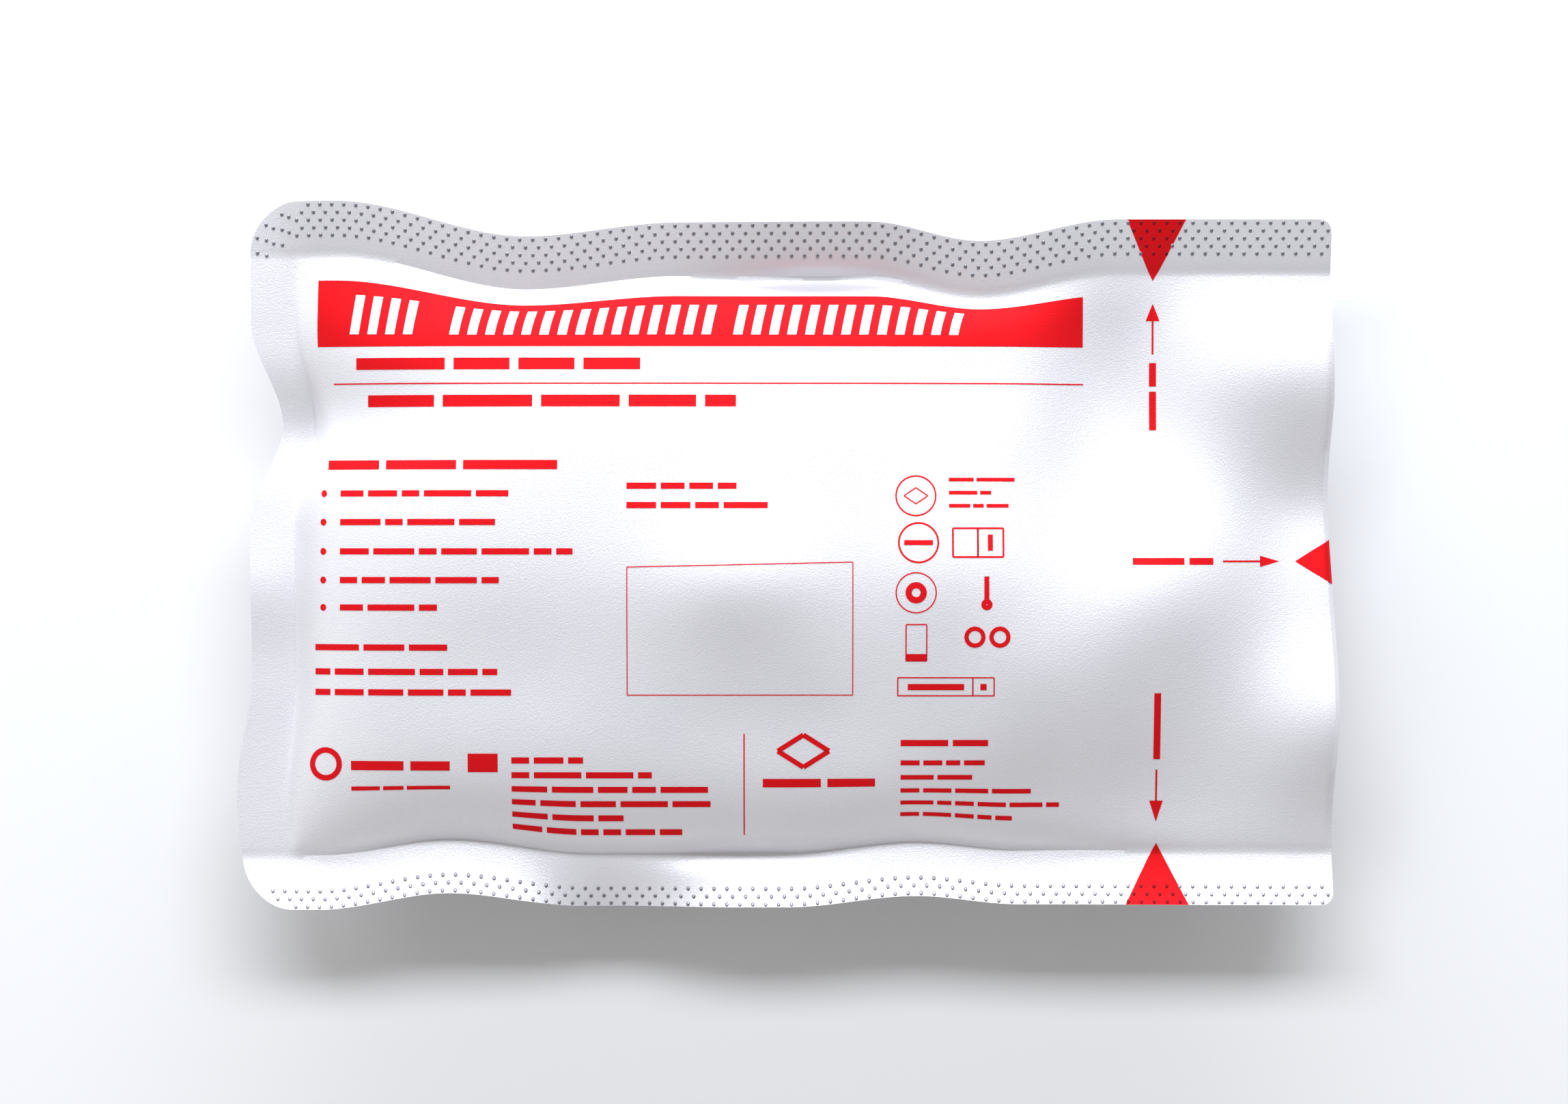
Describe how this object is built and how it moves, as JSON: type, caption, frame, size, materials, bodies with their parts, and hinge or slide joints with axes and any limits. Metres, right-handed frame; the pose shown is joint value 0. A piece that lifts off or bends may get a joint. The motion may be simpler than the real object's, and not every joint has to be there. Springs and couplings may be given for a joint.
{
  "type": "packed emergency trauma bandage pouch",
  "caption": "Sealed, filled laminate pouch with a folded pressure bandage inside: wavy crimped seals, soft pillow body, flattened where it rests.",
  "frame": {"origin": "middle of the pouch, on the flat of its back that rests on a surface", "axes": "+X along the pouch from its sealed left end to its tight right seam, +Y across it towards the top seal, +Z out of the printed front"},
  "size_m": [0.1779, 0.1144, 0.0256],
  "materials": {
    "printed_film": "satin white metallised laminate film, printed red",
    "plain_film": "satin white metallised laminate film, unprinted",
    "bandage_cloth": "soft off-white elastic gauze"
  },
  "bodies": {
    "root": {"front_film": "printed_film", "back_film": "plain_film", "folded_bandage": "bandage_cloth"}
  },
  "joints": []
}
